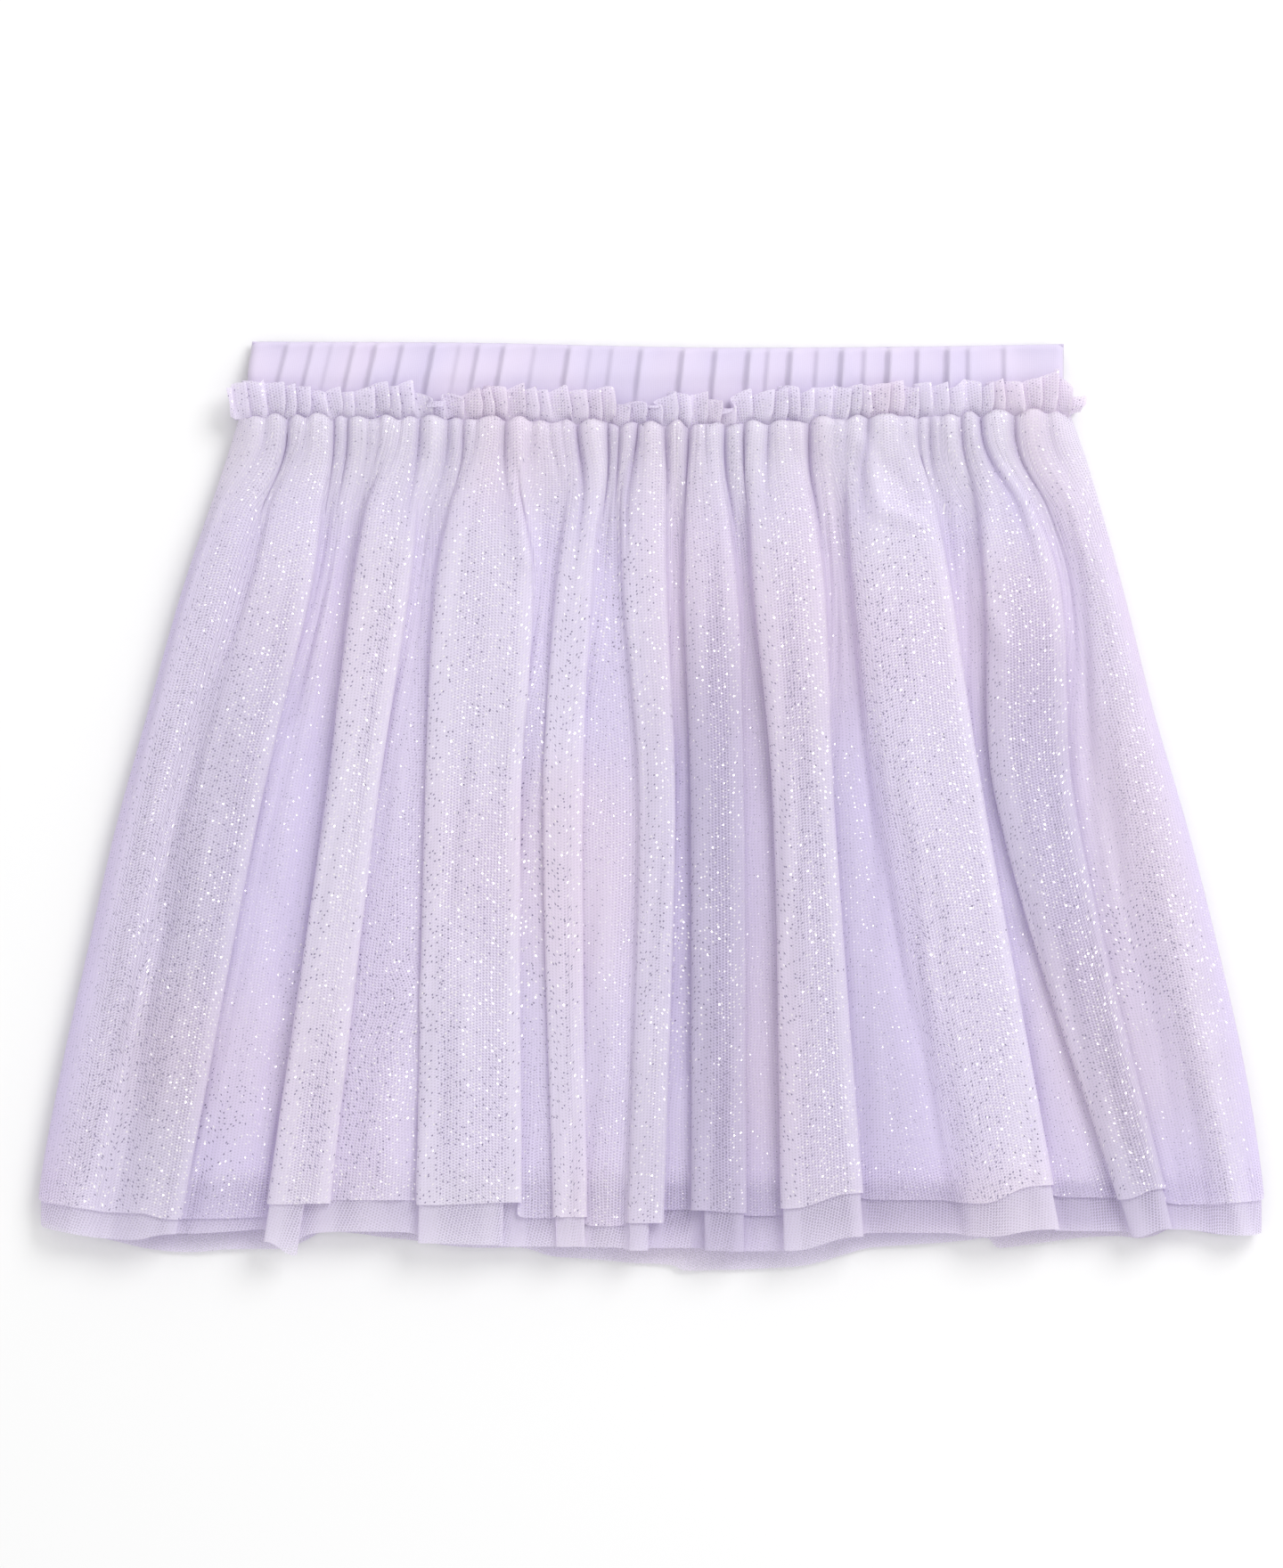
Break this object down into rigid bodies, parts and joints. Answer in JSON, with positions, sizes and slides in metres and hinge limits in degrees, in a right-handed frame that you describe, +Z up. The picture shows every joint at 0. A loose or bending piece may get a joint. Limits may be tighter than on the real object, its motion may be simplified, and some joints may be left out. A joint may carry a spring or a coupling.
{
  "type": "tutu skort",
  "caption": "Gathered tulle skirt laid flat over built-in knit shorts, with a ruffled tulle frill under an elastic waistband.",
  "frame": {"origin": "centre of the garment's outline, on the surface that it lies on", "axes": "+X along the waist to the right as seen from above, +Y from the hem to the waist, +Z up through the front of the skirt"},
  "size_m": [0.401, 0.3026, 0.0178],
  "materials": {
    "glitter_tulle": "sheer with glitter",
    "plain_tulle": "sheer",
    "band_jersey": "matte",
    "shorts_jersey": "matte"
  },
  "bodies": {
    "root": {"waistband_front": "band_jersey", "waistband_back": "band_jersey", "frill_front": "glitter_tulle", "frill_back": "glitter_tulle", "glitter_tulle_front": "glitter_tulle", "glitter_tulle_back": "glitter_tulle", "plain_tulle_front": "plain_tulle", "plain_tulle_back": "plain_tulle", "shorts_front_left": "shorts_jersey", "shorts_front_right": "shorts_jersey", "shorts_back_left": "shorts_jersey", "shorts_back_right": "shorts_jersey"}
  },
  "joints": []
}
